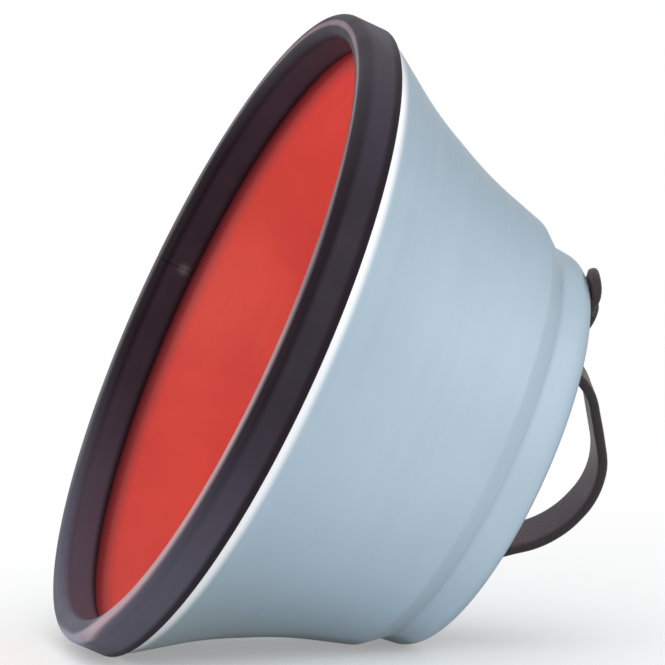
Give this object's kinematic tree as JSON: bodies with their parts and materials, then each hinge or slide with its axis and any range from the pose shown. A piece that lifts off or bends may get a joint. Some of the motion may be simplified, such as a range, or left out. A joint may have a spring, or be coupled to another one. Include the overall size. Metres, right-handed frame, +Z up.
{
  "type": "trombone plunger mute",
  "caption": "Spun aluminium plunger mute for a trombone: flared cup with a red lining, a rubber rim trim and a leather hand strap on its back.",
  "frame": {"origin": "middle of the bounding box's underside, on the surface that the mute lies on", "axes": "+Z up; the mute lies on its side with its mouth towards -X and its back towards +X, and its own axis lies in the XZ plane, dipping 24.9 degrees towards +X"},
  "size_m": [0.122, 0.1498, 0.139],
  "materials": {
    "bell": "satin, pale blue-grey",
    "lining": "satin red",
    "trim": "smooth black",
    "strap": "dark brown, waxed",
    "strap_hardware": "blackened",
    "washer": "zinc plated",
    "fibre": "red-brown fibre",
    "nut": "polished nickel"
  },
  "bodies": {
    "root": {"bell_shell": "bell", "bell_lining": "lining", "rim_trim": "trim", "hand_strap": "strap", "strap_screw_upper": "strap_hardware", "strap_screw_lower": "strap_hardware", "strap_washer_upper": "strap_hardware", "strap_washer_lower": "strap_hardware", "fibre_washer_upper": "fibre", "fibre_washer_lower": "fibre", "steel_washer_upper": "washer", "steel_washer_lower": "washer", "cap_nut_upper": "nut", "cap_nut_lower": "nut"}
  },
  "joints": []
}
